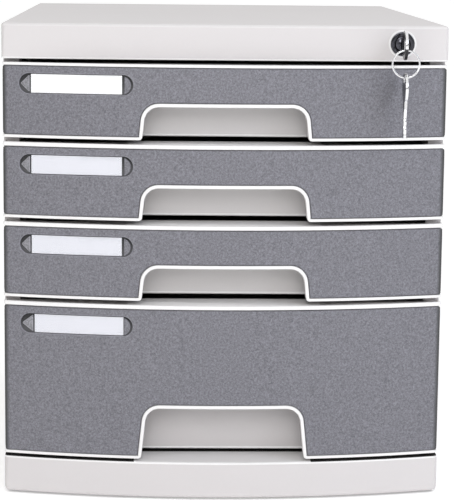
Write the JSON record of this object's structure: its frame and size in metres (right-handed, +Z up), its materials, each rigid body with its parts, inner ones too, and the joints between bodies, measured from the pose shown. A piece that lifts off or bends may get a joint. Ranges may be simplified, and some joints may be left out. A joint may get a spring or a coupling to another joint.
{
  "type": "desktop drawer cabinet",
  "caption": "Desktop filing cabinet with a bowed front, shallow drawers over a deep one, finger notches, label recesses and a key lock in its lid.",
  "frame": {"origin": "centre of the bounding box at the bottom, on the surface that the feet stand on", "axes": "+Z up, -Y towards the front that the drawers slide out of, +X to the right as seen from the front"},
  "size_m": [0.3052, 0.4444, 0.3285],
  "materials": {
    "light_plastic": "satin moulded, light warm grey",
    "dark_plastic": "fine speckled grain, mid grey",
    "label_card": "bare card",
    "clear_plastic": "clear, polished",
    "chrome": "bright plated",
    "zinc_steel": "zinc plated",
    "rubber": "matt"
  },
  "bodies": {
    "cabinet": {"base_plinth": "light_plastic", "side_panel_left": "light_plastic", "side_panel_right": "light_plastic", "back_panel": "light_plastic", "top_cover": "light_plastic", "foot_1": "rubber", "foot_2": "rubber", "foot_3": "rubber", "foot_4": "rubber", "lid_screw_1": "zinc_steel", "lid_screw_2": "zinc_steel", "lid_screw_3": "zinc_steel", "lid_screw_4": "zinc_steel", "base_screw_1": "zinc_steel", "base_screw_2": "zinc_steel", "base_screw_3": "zinc_steel", "base_screw_4": "zinc_steel", "lock_housing": "chrome", "lock_nut": "zinc_steel"},
    "drawer_1": {"drawer_1_tray": "light_plastic", "drawer_1_front_frame": "light_plastic", "drawer_1_fascia": "dark_plastic", "drawer_1_label_card": "label_card", "drawer_1_label_window": "clear_plastic", "drawer_1_screw_left": "zinc_steel", "drawer_1_screw_right": "zinc_steel"},
    "drawer_2": {"drawer_2_tray": "light_plastic", "drawer_2_front_frame": "light_plastic", "drawer_2_fascia": "dark_plastic", "drawer_2_label_card": "label_card", "drawer_2_label_window": "clear_plastic", "drawer_2_screw_left": "zinc_steel", "drawer_2_screw_right": "zinc_steel"},
    "drawer_3": {"drawer_3_tray": "light_plastic", "drawer_3_front_frame": "light_plastic", "drawer_3_fascia": "dark_plastic", "drawer_3_label_card": "label_card", "drawer_3_label_window": "clear_plastic", "drawer_3_screw_left": "zinc_steel", "drawer_3_screw_right": "zinc_steel"},
    "drawer_4": {"drawer_4_tray": "light_plastic", "drawer_4_front_frame": "light_plastic", "drawer_4_fascia": "dark_plastic", "drawer_4_label_card": "label_card", "drawer_4_label_window": "clear_plastic", "drawer_4_screw_left": "zinc_steel", "drawer_4_screw_right": "zinc_steel"},
    "lock_plug": {"lock_plug": "chrome", "lock_cam": "zinc_steel", "cam_screw": "zinc_steel"},
    "lock_bar": {"lock_bar": "zinc_steel"},
    "lock_key": {"lock_key": "chrome"},
    "key_ring": {"key_ring": "chrome"},
    "spare_key": {"spare_key": "chrome"}
  },
  "joints": [
    {"name": "drawer_1_slide", "type": "slide", "parent": "cabinet", "child": "drawer_1", "axis": [0, -1, 0], "range_m": [0, 0.25]},
    {"name": "drawer_2_slide", "type": "slide", "parent": "cabinet", "child": "drawer_2", "axis": [0, -1, 0], "range_m": [0, 0.25]},
    {"name": "drawer_3_slide", "type": "slide", "parent": "cabinet", "child": "drawer_3", "axis": [0, -1, 0], "range_m": [0, 0.25]},
    {"name": "drawer_4_slide", "type": "slide", "parent": "cabinet", "child": "drawer_4", "axis": [0, -1, 0], "range_m": [0, 0.25]},
    {"name": "lock_turn", "type": "hinge", "parent": "cabinet", "child": "lock_plug", "pos_m": [0.1205, -0.18778, 0.3163], "axis": [0, 1, 0], "range_deg": [0, 90]},
    {"name": "lock_bar_lift", "type": "slide", "parent": "cabinet", "child": "lock_bar", "axis": [0, 0, 1], "range_m": [0, 0.008]},
    {"name": "key_pull", "type": "slide", "parent": "lock_plug", "child": "lock_key", "axis": [0, -1, 0], "range_m": [0, 0.25]},
    {"name": "key_ring_turn", "type": "hinge", "parent": "lock_key", "child": "key_ring", "pos_m": [0.1205, -0.21222, 0.30395], "axis": [0, 1, 0], "range_deg": [-90, 0]},
    {"name": "spare_key_swing", "type": "hinge", "parent": "key_ring", "child": "spare_key", "pos_m": [0.1205, -0.21222, 0.29485], "axis": [-1, 0, 0], "range_deg": [-12, 85]}
  ],
  "couplings": [
    {"joint": "lock_turn", "follows": "lock_bar_lift", "rad_per_m": 196.35},
    {"joint": "key_pull", "follows": "drawer_1_slide", "ratio": 1},
    {"joint": "key_ring_turn", "follows": "lock_bar_lift", "rad_per_m": -196.35}
  ]
}
